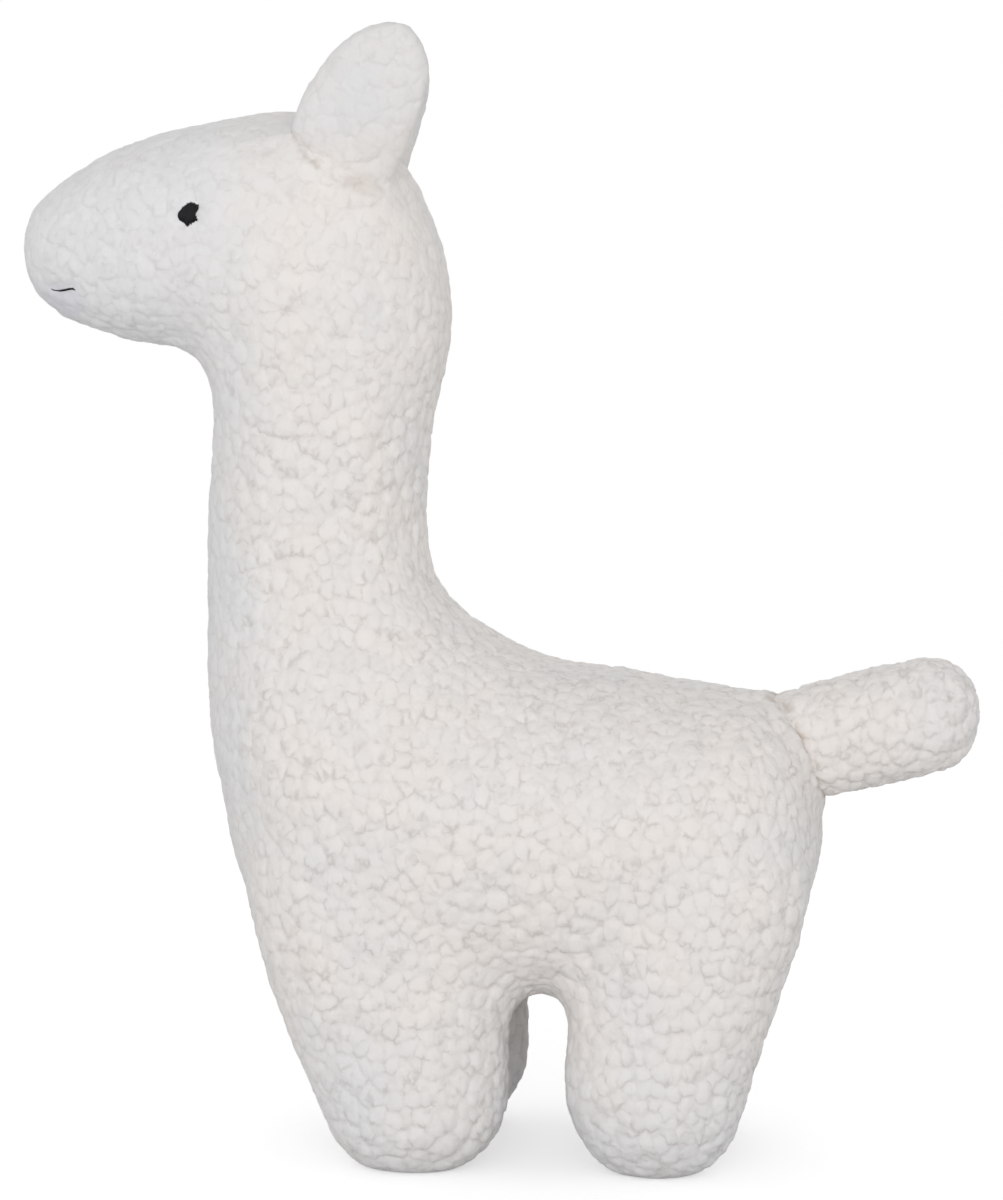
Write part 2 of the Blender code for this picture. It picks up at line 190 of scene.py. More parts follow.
class StitchSettings(PropertyGroup):
    """Sizes and colours of the embroidery"""

    eye_x: length_property("Eye X", "Where the eye's middle sits along the toy", -85.9 * MM)
    eye_z: length_property("Eye Z", "Height of the eye's middle above the ground", 274.9 * MM)
    eye_width: length_property("Eye Width", "Across an eye", 5.8 * MM)
    eye_height: length_property("Eye Height", "Along an eye", 7.1 * MM)
    stitch_lean: FloatProperty(
        name="Stitch Lean", description="How far the top of an eye's stitches leans back",
        default=math.radians(4), subtype="ANGLE",
    )
    eye_thread: length_property("Eye Thread", "Thickness of a thread of the eye", 0.42 * MM)
    eye_threads: IntProperty(name="Eye Threads", description="Stitches in one eye", default=19, min=3)
    mouth_thread: length_property("Mouth Thread", "Thickness of a thread of the mouth", 0.42 * MM)
    thread: colour_property("Thread", "Colour of the embroidery thread", "131316")


class StudioSettings(PropertyGroup):
    """The floor, the light and the camera"""

    distance: length_property("Camera Distance", "From the camera to the toy's middle", 1.3)
    azimuth: FloatProperty(
        name="Camera Azimuth", description="Turn of the camera round the toy",
        default=math.radians(6.5), subtype="ANGLE",
    )
    elevation: FloatProperty(
        name="Camera Elevation", description="Angle of the camera above the floor",
        default=math.radians(8.0), subtype="ANGLE",
    )
    ambient: FloatProperty(
        name="Ambient", description="Strength of the even light", default=1.01, min=0.0, subtype="FACTOR"
    )
    key: FloatProperty(
        name="Key", description="Power of the front lamp", default=8.6, min=0.0, unit="POWER"
    )
    fill: FloatProperty(
        name="Fill", description="Power of the rear lamp", default=4.0, min=0.0, unit="POWER"
    )
    floor: colour_property("Floor", "Colour of the studio floor", "D4D4D4")


def add_node(tree, kind, inputs=None, **settings):
    """Adds a node, sets its properties, and gives its inputs values or links them to sockets."""
    node = tree.nodes.new(kind)
    for name, value in settings.items():
        setattr(node, name, value)
    for name, value in (inputs or {}).items():
        if isinstance(value, bpy.types.NodeSocket):
            tree.links.new(value, node.inputs[name])
        else:
            node.inputs[name].default_value = value
    return node


def curl_pattern(tree, place, cell):
    """Curls packed side by side, each leaning its own way: sockets for height, crevice shade, tone and
    tufts; the crevice shade sinks the crevices and is painted as their shade.
    """
    cells = add_node(tree, "ShaderNodeVectorMath", {0: place, 1: cell}, operation="DIVIDE").outputs[0]
    # scales in curls: bend and frayed move the curls' edges, loose opens the crevices here and there,
    # clump lifts groups of curls, and tufts breaks up their tops
    clouds = {
        name: add_node(
            tree, "ShaderNodeTexNoise", {"Vector": cells, "Scale": scale, "Detail": detail, "Roughness": 0.6}
        ).outputs
        for name, scale, detail in (
            ("bend", 0.9, 2.0), ("frayed", 2.6, 2.0), ("loose", 1.3, 1.0), ("clump", 0.4, 2.0),
            ("tufts", 2.1, 3.0),
        )
    }
    warped = cells
    for name, reach in (("bend", 1.0), ("frayed", 0.32)):
        warped = add_node(
            tree, "ShaderNodeVectorMath", {0: clouds[name]["Color"], 1: (reach,) * 3, 2: warped},
            operation="MULTIPLY_ADD",
        ).outputs[0]
    packing = {"Vector": warped, "Scale": 1.0, "Randomness": 0.9}
    near = add_node(tree, "ShaderNodeTexVoronoi", packing, feature="F1").outputs
    edge = add_node(tree, "ShaderNodeTexVoronoi", packing, feature="DISTANCE_TO_EDGE").outputs["Distance"]
    inside = add_node(
        tree, "ShaderNodeVectorMath", {0: warped, 1: near["Position"]}, operation="SUBTRACT"
    ).outputs[0]
    # every curl leans a way of its own, and stands out most at its lower end
    lean = add_node(
        tree, "ShaderNodeVectorMath", {0: near["Color"], 1: (0.8, 0.8, 0.6), 2: (-0.4, -0.4, -1.0)},
        operation="MULTIPLY_ADD",
    ).outputs[0]
    slope = add_node(
        tree, "ShaderNodeVectorMath", {0: inside, 1: lean}, operation="DOT_PRODUCT"
    ).outputs["Value"]
    square = add_node(
        tree, "ShaderNodeMath", {0: near["Distance"], 1: 2.0}, operation="POWER"
    ).outputs[0]
    dome = add_node(
        tree, "ShaderNodeMath", {0: square, 1: -1.0, 2: 0.45}, operation="MULTIPLY_ADD"
    ).outputs[0]
    depth = add_node(
        tree, "ShaderNodeMapRange",
        {"Value": clouds["loose"]["Fac"], "From Min": 0.43, "From Max": 0.62, "To Min": 0.08, "To Max": 1.0},
    ).outputs[0]
    gap = add_node(
        tree, "ShaderNodeMapRange",
        {"Value": edge, "From Min": 0.0, "From Max": 0.24, "To Min": 1.0, "To Max": 0.0},
        interpolation_type="SMOOTHSTEP",
    ).outputs[0]
    # a crevice is deepest, and its painted shade darkest, under a curl, where the pile hangs over it
    rise = add_node(tree, "ShaderNodeSeparateXYZ", {0: inside}).outputs[2]
    under = add_node(
        tree, "ShaderNodeMapRange",
        {"Value": rise, "From Min": -0.25, "From Max": 0.2, "To Min": 1.0, "To Max": 0.25},
    ).outputs[0]
    shaded = add_node(tree, "ShaderNodeMath", {0: depth, 1: under}, operation="MULTIPLY").outputs[0]
    drop = add_node(
        tree, "ShaderNodeMath", {0: shaded, 1: 0.9, 2: 0.1}, operation="MULTIPLY_ADD"
    ).outputs[0]
    crevice_shade = add_node(tree, "ShaderNodeMath", {0: gap, 1: drop}, operation="MULTIPLY").outputs[0]
    height = dome
    clump = clouds["clump"]["Fac"]
    tufts = clouds["tufts"]["Fac"]
    for part, share in ((slope, 0.6), (clump, 0.9), (tufts, 0.8), (crevice_shade, -0.3)):
        height = add_node(
            tree, "ShaderNodeMath", {0: part, 1: share, 2: height}, operation="MULTIPLY_ADD"
        ).outputs[0]
    tone = add_node(tree, "ShaderNodeSeparateXYZ", {0: near["Color"]}).outputs[1]
    return height, crevice_shade, tone, tufts


def add_socket(tree, name, kind, default=None, out=False):
    socket = tree.interface.new_socket(name, in_out="OUTPUT" if out else "INPUT", socket_type=kind)
    if default is not None:
        socket.default_value = default


def curl_tree(settings):
    """Geometry nodes that raise the curls, press them flat round stitches and draw seams in."""
    tree = bpy.data.node_groups.new(CURLS, "GeometryNodeTree")
    add_socket(tree, "Geometry", "NodeSocketGeometry")
    add_socket(tree, "Curl Width", "NodeSocketFloat", settings.curl_width)
    add_socket(tree, "Curl Length", "NodeSocketFloat", settings.curl_length)
    add_socket(tree, "Curl Height", "NodeSocketFloat", settings.curl_height)
    add_socket(tree, "Upper Relief", "NodeSocketFloat", 1.0)
    add_socket(tree, "Upper Height", "NodeSocketFloat", 0.24)
    add_socket(tree, "Front Relief", "NodeSocketFloat", 0.6)
    add_socket(tree, "Seam Depth", "NodeSocketFloat", -0.6 * MM)
    add_socket(tree, "Seam Width", "NodeSocketFloat", 1.8 * MM)
    add_socket(tree, "Flare", "NodeSocketFloat", 0.0)
    add_socket(tree, "Stitches", "NodeSocketCollection")
    add_socket(tree, "Neighbours", "NodeSocketCollection")
    add_socket(tree, "Fleece", "NodeSocketMaterial")
    add_socket(tree, "Geometry", "NodeSocketGeometry", out=True)
    given = add_node(tree, "NodeGroupInput").outputs
    place = add_node(tree, "GeometryNodeInputPosition").outputs[0]
    width = given["Curl Width"]
    cell = add_node(
        tree, "ShaderNodeCombineXYZ", {0: width, 1: width, 2: given["Curl Length"]}
    ).outputs[0]
    height = curl_pattern(tree, place, cell)[0]
    # the curls are lower towards the head and on what faces forwards, and end at the soles
    upright = add_node(tree, "ShaderNodeSeparateXYZ", {0: place}).outputs[2]
    start = add_node(tree, "ShaderNodeMath", {0: given["Upper Height"], 1: 0.07}, operation="SUBTRACT")
    relief = add_node(
        tree, "ShaderNodeMapRange",
        {"Value": upright, "From Min": start.outputs[0], "From Max": given["Upper Height"],
         "To Min": 1.0, "To Max": given["Upper Relief"]},
    ).outputs[0]
    normal = add_node(tree, "GeometryNodeInputNormal").outputs[0]
    facing = add_node(tree, "ShaderNodeSeparateXYZ", {0: normal}).outputs[0]
    smoother = add_node(
        tree, "ShaderNodeMapRange",
        {"Value": facing, "From Min": -0.85, "From Max": -0.35, "To Min": given["Front Relief"]},
    ).outputs[0]
    relief = add_node(tree, "ShaderNodeMath", {0: relief, 1: smoother}, operation="MULTIPLY").outputs[0]
    ground = add_node(
        tree, "ShaderNodeMapRange", {"Value": upright, "From Min": 0.4 * MM, "From Max": 3 * MM}
    ).outputs[0]
    calm = near_share(tree, given["Stitches"], place, 0.6 * MM, 2.6 * MM)
    # a seam's edge is ragged, as pile is caught in it
    ragged = add_node(
        tree, "ShaderNodeTexNoise", {"Vector": place, "Scale": 1 / SEAM_RAG, "Detail": 2.0}
    ).outputs["Color"]
    torn = add_node(
        tree, "ShaderNodeVectorMath", {0: ragged, 1: (3 * MM,) * 3, 2: place}, operation="MULTIPLY_ADD"
    ).outputs[0]
    torn = add_node(
        tree, "ShaderNodeVectorMath", {0: torn, 1: (1.5 * MM,) * 3}, operation="SUBTRACT"
    ).outputs[0]
    seam = near_share(tree, given["Neighbours"], torn, 0.1 * MM, given["Seam Width"])
    scale = ground
    for factor in (relief, given["Curl Height"], calm):
        scale = add_node(tree, "ShaderNodeMath", {0: scale, 1: factor}, operation="MULTIPLY").outputs[0]
    sunk = add_node(tree, "ShaderNodeMath", {0: height, 1: 0.9}, operation="SUBTRACT").outputs[0]
    rise = add_node(tree, "ShaderNodeMath", {0: sunk, 1: scale}, operation="MULTIPLY").outputs[0]
    drawn = add_node(
        tree, "ShaderNodeMapRange", {"Value": seam, "To Min": given["Seam Depth"], "To Max": 0.0}
    ).outputs[0]
    pressed = add_node(
        tree, "ShaderNodeMapRange", {"Value": calm, "To Min": -0.5 * MM, "To Max": 0.0}
    ).outputs[0]
    # the cloth swells a little towards what is sewn on
    apart = near_share(tree, given["Neighbours"], place, -2 * MM, 7 * MM)
    flared = add_node(
        tree, "ShaderNodeMapRange", {"Value": apart, "To Min": given["Flare"], "To Max": 0.0}
    ).outputs[0]
    for extra in (drawn, pressed, flared):
        rise = add_node(tree, "ShaderNodeMath", {0: rise, 1: extra}, operation="ADD").outputs[0]
    offset = add_node(tree, "ShaderNodeVectorMath", {0: normal, "Scale": rise}, operation="SCALE").outputs[0]
    kept = add_node(
        tree, "GeometryNodeStoreNamedAttribute",
        {"Geometry": given["Geometry"], "Name": SMOOTH_PLACE, "Value": place},
        data_type="FLOAT_VECTOR", domain="POINT",
    ).outputs[0]
    kept = add_node(
        tree, "GeometryNodeStoreNamedAttribute", {"Geometry": kept, "Name": "seam", "Value": seam},
        data_type="FLOAT", domain="POINT",
    ).outputs[0]
    kept = add_node(
        tree, "GeometryNodeStoreNamedAttribute", {"Geometry": kept, "Name": "relief", "Value": relief},
        data_type="FLOAT", domain="POINT",
    ).outputs[0]
    moved = add_node(tree, "GeometryNodeSetPosition", {"Geometry": kept, "Offset": offset}).outputs[0]
    real = add_node(tree, "GeometryNodeRealizeInstances", {"Geometry": moved}).outputs[0]
    done = add_node(
        tree, "GeometryNodeSetMaterial", {"Geometry": real, "Material": given["Fleece"]}
    ).outputs[0]
    add_node(tree, "NodeGroupOutput", {0: done})
    return tree


def socket_ids(tree):
    """The identifiers of a tree's inputs by their names."""
    return {item.name: item.identifier for item in tree.interface.items_tree if item.in_out == "INPUT"}


def near_share(tree, collection, place, touching, clear):
    """0 where a surface touches the collection's objects, rising to 1 a little way off."""
    others = add_node(tree, "GeometryNodeCollectionInfo", {"Collection": collection}).outputs[0]
    real = add_node(tree, "GeometryNodeRealizeInstances", {"Geometry": others}).outputs[0]
    near = add_node(
        tree, "GeometryNodeProximity", {0: real, "Sample Position": place}, target_element="FACES"
    )
    away = add_node(
        tree, "ShaderNodeMapRange",
        {"Value": near.outputs["Distance"], "From Min": touching, "From Max": clear},
        interpolation_type="SMOOTHSTEP",
    ).outputs[0]
    lone = add_node(
        tree, "ShaderNodeMath", {0: 1.0, 1: near.outputs["Is Valid"]}, operation="SUBTRACT"
    ).outputs[0]
    return add_node(tree, "ShaderNodeMath", {0: away, 1: lone}, operation="MAXIMUM").outputs[0]


def new_object(name, data):
    made = bpy.data.objects.new(name, data)
    bpy.context.scene.collection.objects.link(made)
    return made


def settle(piece):
    """Replaces the object's mesh by its evaluated one, with no modifiers left."""
    bpy.context.view_layer.update()
    graph = bpy.context.evaluated_depsgraph_get()
    mesh = bpy.data.meshes.new_from_object(piece.evaluated_get(graph), depsgraph=graph)
    piece.modifiers.clear()
    piece.data = mesh
    mesh.name = piece.name


def points_of(mesh):
    points = np.empty(len(mesh.vertices) * 3)
    mesh.vertices.foreach_get("co", points)
    return points.reshape(-1, 3)


def set_points(mesh, points):
    mesh.vertices.foreach_set("co", points.astype(np.float32).ravel())
    mesh.update()


def solid_of(node):
    """A search tree over a frame solid's surface."""
    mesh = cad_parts[node].data
    return BVHTree.FromPolygons([v.co for v in mesh.vertices], [p.vertices for p in mesh.polygons])


def cloth_copy(name, node, facet, inset, sewn_to=None, root=None):
    """A remeshed copy of a frame solid, drawn in a little from it, its seam allowance sunk by the root."""
    bm = bmesh.new()
    bm.from_mesh(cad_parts[node].data)
    bmesh.ops.remove_doubles(bm, verts=bm.verts, dist=0.01 * MM)
    if sewn_to:
        carrier = solid_of(sewn_to)
        for vert in bm.verts:
            if carrier.find_nearest(vert.co)[3] < SEWN_WITHIN:
                vert.co += root
    solid = BVHTree.FromBMesh(bm)
    mesh = bpy.data.meshes.new(name)
    bm.to_mesh(mesh)
    bm.free()
    piece = new_object(name, mesh)
    skin = piece.modifiers.new("skin", "REMESH")
    skin.mode = "VOXEL"
    skin.voxel_size = facet
    ease = piece.modifiers.new("ease", "SMOOTH")
    ease.iterations = 4
    settle(piece)
    normals = np.array([v.normal for v in piece.data.vertices])
    points = points_of(piece.data)
    for i, (point, normal) in enumerate(zip(points, normals)):
        nearest = solid.find_nearest(Vector(point))[0]
        lift = float(np.dot(np.array(nearest) - point, normal))
        points[i] = point + normal * (lift - inset)
    set_points(piece.data, points)
    return piece


def shape(piece, pushes):
    """Pushes the cloth softly in and out, as its uneven filling does."""
    points = points_of(piece.data)
    for x, z, reach, along, up in pushes:
        away = np.hypot(points[:, 0] - x * MM, points[:, 2] - z * MM) / (reach * MM)
        share = np.clip(1.0 - away, 0.0, 1.0)
        share = share * share * (3.0 - 2.0 * share)
        points[:, 0] += share * along * MM
        points[:, 2] += share * up * MM
    set_points(piece.data, points)


def stuff(piece, swell, held=None):
    """Swells the cloth with a pressure simulation, no further than the swell, and keeps the result."""
    scene = bpy.context.scene
    before = points_of(piece.data)
    cloth = piece.modifiers.new("stuffing", "CLOTH")
    cloth.settings.quality = 4
    cloth.settings.use_pressure = True
    cloth.settings.uniform_pressure_force = PRESSURE
    cloth.settings.effector_weights.gravity = 0.0
    cloth.point_cache.frame_start = 1
    cloth.point_cache.frame_end = SWELL_FRAMES
    if held is not None:
        group = piece.vertex_groups.new(name="held")
        for index in np.flatnonzero(held):
            group.add([int(index)], 1.0, "REPLACE")
        cloth.settings.vertex_group_mass = group.name
    for step in range(1, SWELL_FRAMES + 1):
        scene.frame_set(step)
    settle(piece)
    piece.vertex_groups.clear()
    scene.frame_set(1)
    move = points_of(piece.data) - before
    reach = np.linalg.norm(move, axis=1, keepdims=True)
    set_points(piece.data, before + move * np.minimum(1.0, swell / np.maximum(reach, 1e-9)))


def raise_curls(piece, tree, material, stitches, neighbours, **sizes):
    """Subdivides the stuffed cloth and raises its curls."""
    fine = piece.modifiers.new("fine", "SUBSURF")
    fine.levels = 2
    fine.render_levels = 2
    curls = piece.modifiers.new("curls", "NODES")
    curls.node_group = tree
    given = socket_ids(tree)
    made = []
    for name, nodes in (("Stitches", stitches), ("Neighbours", neighbours)):
        group = bpy.data.collections.new(f"{piece.name} {name}")
        for node in nodes:
            group.objects.link(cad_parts[node])
        curls[given[name]] = group
        made.append(group)
    curls[given["Fleece"]] = material
    for name, value in sizes.items():
        curls[given[name.replace("_", " ").title()]] = value
    settle(piece)
    for group in made:
        bpy.data.collections.remove(group)
    points = points_of(piece.data)
    points[:, 2] = np.maximum(points[:, 2], 0.0)
    set_points(piece.data, points)
    piece.data.shade_smooth()


def fleece_material(name, settings, seam_knit_and_shade, brightness=1.0):
    """Teddy fleece, a knitted polyester pile brushed into curls: matt and soft, with warm painted shade in
    its crevices.

    The seam knit and shade says how far bare knit and painted crease shade show along the seams, and the
    brightness dulls shorter pile.
    """
    material = bpy.data.materials.new(name)
    material.use_nodes = True
    tree = material.node_tree
    shader = tree.nodes["Principled BSDF"]
    rest = add_node(tree, "ShaderNodeAttribute", attribute_name=SMOOTH_PLACE).outputs["Vector"]
    seam = add_node(tree, "ShaderNodeAttribute", attribute_name="seam").outputs["Fac"]
    curled = add_node(tree, "ShaderNodeAttribute", attribute_name="relief").outputs["Fac"]
    cell = (settings.curl_width, settings.curl_width, settings.curl_length)
    height, crevice_shade, tone, tufts = curl_pattern(tree, rest, cell)
    height = add_node(tree, "ShaderNodeMath", {0: height, 1: curled}, operation="MULTIPLY").outputs[0]
    # the pile is cooler in patches and on the feet and the ear tips, and painted cooler light lies on the
    # snout, neck and chest
    patches = add_node(
        tree, "ShaderNodeTexNoise", {"Vector": rest, "Scale": 1 / PATCH, "Detail": 2.0}
    ).outputs["Fac"]
    axes = add_node(tree, "ShaderNodeSeparateXYZ", {0: rest}).outputs
    cool_share = 0.0
    for axis, (start, end, most), ease in (
        (0, PAINTED_COOL_LIGHT_X, "SMOOTHSTEP"), (2, COOL_FEET_Z, "LINEAR"), (2, COOL_EAR_TIPS_Z, "LINEAR"),
    ):
        cooler = add_node(
            tree, "ShaderNodeMapRange",
            {"Value": axes[axis], "From Min": start, "From Max": end, "To Max": most},
            interpolation_type=ease,
        ).outputs[0]
        cool_share = add_node(
            tree, "ShaderNodeMath", {0: cool_share, 1: cooler}, operation="MAXIMUM"
        ).outputs[0]
    patch = add_node(
        tree, "ShaderNodeMapRange", {"Value": patches, "From Min": 0.42, "From Max": 0.7, "To Max": 0.55}
    ).outputs[0]
    patch = add_node(
        tree, "ShaderNodeMath", {0: patch, 1: cool_share}, operation="ADD", use_clamp=True
    ).outputs[0]
    pile = add_node(
        tree, "ShaderNodeMix",
        {"Factor": patch, 6: (*settings.cream, 1.0), 7: (*settings.cool, 1.0)}, data_type="RGBA",
    ).outputs[2]
    shade = add_node(
        tree, "ShaderNodeMapRange", {"Value": tone, "To Min": 0.965 * brightness, "To Max": brightness}
    ).outputs[0]
    toned = add_node(
        tree, "ShaderNodeMix", {"Factor": 1.0, 6: pile, 7: shade}, data_type="RGBA", blend_type="MULTIPLY"
    ).outputs[2]
    # painted shade in the crevices, darkest under the curls
    open_gap = add_node(tree, "ShaderNodeMath", {0: crevice_shade, 1: curled}, operation="MULTIPLY").outputs[0]
    crevice_shade_share = add_node(tree, "ShaderNodeMath", {0: open_gap, 1: 0.5}, operation="MULTIPLY").outputs[0]
    # bare knit along the seams, with painted shade in the crease where the pieces meet, in broken stretches,
    # which show most before the ears and at the tail
    bare = add_node(tree, "ShaderNodeMath", {0: 1.0, 1: seam}, operation="SUBTRACT").outputs[0]
    broken = add_node(
        tree, "ShaderNodeTexNoise", {"Vector": rest, "Scale": 1 / SEAM_BREAK, "Detail": 2.0}
    ).outputs["Fac"]
    broken = add_node(
        tree, "ShaderNodeMapRange", {"Value": broken, "From Min": 0.42, "From Max": 0.6, "To Max": seam_knit_and_shade}
    ).outputs[0]
    for start, end, times in (KNIT_AND_SHADE_BEFORE_EARS_X, KNIT_AND_SHADE_AT_TAIL_X):
        stronger = add_node(
            tree, "ShaderNodeMapRange",
            {"Value": axes[0], "From Min": start, "From Max": end, "To Min": 1.0, "To Max": times},
        ).outputs[0]
        broken = add_node(tree, "ShaderNodeMath", {0: broken, 1: stronger}, operation="MULTIPLY").outputs[0]
    seam_knit_and_shade_share = add_node(tree, "ShaderNodeMath", {0: bare, 1: broken}, operation="MULTIPLY").outputs[0]
    # painted shade round the mouth, an ellipse seen from the side
    drawn = add_node(
        tree, "ShaderNodeVectorMath", {0: rest, 1: MOUTH_MIDDLE}, operation="SUBTRACT"
    ).outputs[0]
    drawn = add_node(
        tree, "ShaderNodeVectorMath", {0: drawn, 1: (1.0, 0.0, 1.4)}, operation="MULTIPLY"
    ).outputs[0]
    drawn = add_node(tree, "ShaderNodeVectorMath", {0: drawn}, operation="LENGTH").outputs["Value"]
    drawn = add_node(
        tree, "ShaderNodeMapRange",
        {"Value": drawn, "From Min": 3 * MM, "From Max": 11 * MM, "To Min": 0.5, "To Max": 0.0},
        interpolation_type="SMOOTHSTEP",
    ).outputs[0]
    colour = toned
    for share, deeper in ((crevice_shade_share, settings.crevice_shade), (seam_knit_and_shade_share, settings.seam), (drawn, settings.mouth_shade)):
        colour = add_node(
            tree, "ShaderNodeMix", {"Factor": share, 6: colour, 7: (*deeper, 1.0)}, data_type="RGBA"
        ).outputs[2]
    fibres = add_node(
        tree, "ShaderNodeTexNoise",
        {"Vector": rest, "Scale": 1 / FIBRE, "Detail": 3.0, "Roughness": 0.7, "Distortion": 1.2},
    ).outputs["Fac"]
    relief = tufts
    for part, share in ((height, 0.45), (fibres, 0.25)):
        relief = add_node(
            tree, "ShaderNodeMath", {0: part, 1: share, 2: relief}, operation="MULTIPLY_ADD"
        ).outputs[0]
    bump = add_node(
        tree, "ShaderNodeBump",
        {"Height": relief, "Strength": 0.5, "Distance": 0.35 * MM},
    ).outputs[0]
    tree.links.new(colour, shader.inputs["Base Color"])
    tree.links.new(bump, shader.inputs["Normal"])
    shader.inputs["Roughness"].default_value = 0.95
    shader.inputs["Specular IOR Level"].default_value = 0.2
    shader.inputs["Sheen Weight"].default_value = 0.3
    shader.inputs["Sheen Roughness"].default_value = 0.6
    return material


def declare(piece, slot, *nodes, fill=None):
    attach(piece, "root")
    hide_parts(*nodes)


def curls_for(settings):
    """The curl tree, made once and shared by every fleece piece."""
    return bpy.data.node_groups.get(CURLS) or curl_tree(settings)


class PLUSH_OT_body(Operator):
    """Stuffs the body and raises its curls"""

    bl_idname = "plush.body"
    bl_label = "Body"

    def execute(self, context):
        settings = context.scene.plush_fleece
        piece = cloth_copy("fleece_body", "body", settings.facet, settings.slack)
        points = points_of(piece.data)
        low = points[:, 2] < SOLE_FADE
        share = (SOLE_FADE - points[low, 2]) / (SOLE_FADE - settings.slack)
        points[low, 2] -= settings.slack * np.minimum(share, 1.0)
        set_points(piece.data, points)
        shape(piece, BODY_PUSHES)
        stuff(piece, settings.swell, held=points[:, 2] < SOLE_HELD)
        material = fleece_material("Teddy fleece, curled polyester pile", settings, 0.3)
        raise_curls(
            piece, curls_for(settings), material,
            ("eye_left", "eye_right", "mouth_left", "mouth_right"), ("ear_left", "ear_right", "tail"),
            upper_relief=0.55, upper_height=0.275, flare=2.5 * MM,
        )
        declare(piece, "body_fleece", "body", fill=0.7)
        return {"FINISHED"}


class PLUSH_OT_tail(Operator):
    """Stuffs the tail and raises its curls"""

    bl_idname = "plush.tail"
    bl_label = "Tail"

    def execute(self, context):
        settings = context.scene.plush_fleece
        piece = cloth_copy("fleece_tail", "tail", 0.8 * settings.facet, settings.slack, "body", TAIL_ROOT)
        shape(piece, TAIL_PUSHES)
        stuff(piece, settings.swell)
        material = fleece_material("Teddy fleece, tail tube", settings, 0.4)
        raise_curls(
            piece, curls_for(settings), material, (), ("body",),
            curl_height=1.2 * settings.curl_height, upper_height=1.0, front_relief=1.0, seam_depth=-0.4 * MM,
            seam_width=4.4 * MM,
        )
        declare(piece, "tail_fleece", "tail", fill=0.8)
        return {"FINISHED"}


class PLUSH_OT_ears(Operator):
    """Stuffs the two ears and raises their low curls"""

    bl_idname = "plush.ears"
    bl_label = "Ears"

    def execute(self, context):
        settings = context.scene.plush_fleece
        material = fleece_material("Teddy fleece, short-pile ear panels", settings, 0.25, 0.97)
        for side in ("left", "right"):
            piece = cloth_copy(
                f"fleece_ear_{side}", f"ear_{side}", 0.55 * settings.facet, settings.slack, "body", EAR_ROOT
            )
            points = points_of(piece.data)
            above = np.maximum(points[:, 2] - EAR_FOOT, 0.0)
            middle = points[:, 0].mean()
            points[:, 0] += EAR_LEAN * above - EAR_NARROW * (points[:, 0] - middle)
            points[:, 2] += EAR_GROW * above
            low = np.clip((EAR_FOOT + EAR_FADE - points[:, 2]) / EAR_FADE, 0.0, 1.0)
            points[:, 1] -= np.sign(points[:, 1].mean()) * EAR_TUCK * low * low * (3.0 - 2.0 * low)
            set_points(piece.data, points)
            shape(piece, EAR_PUSHES[side])
            stuff(piece, 0.7 * settings.swell)
            raise_curls(
                piece, curls_for(settings), material, (), ("body",),
                upper_relief=0.42, upper_height=0.0, flare=1.0 * MM, seam_depth=0.0, seam_width=3.6 * MM,
            )
            declare(piece, "ear_fleece", f"ear_{side}", fill=0.4)
        return {"FINISHED"}


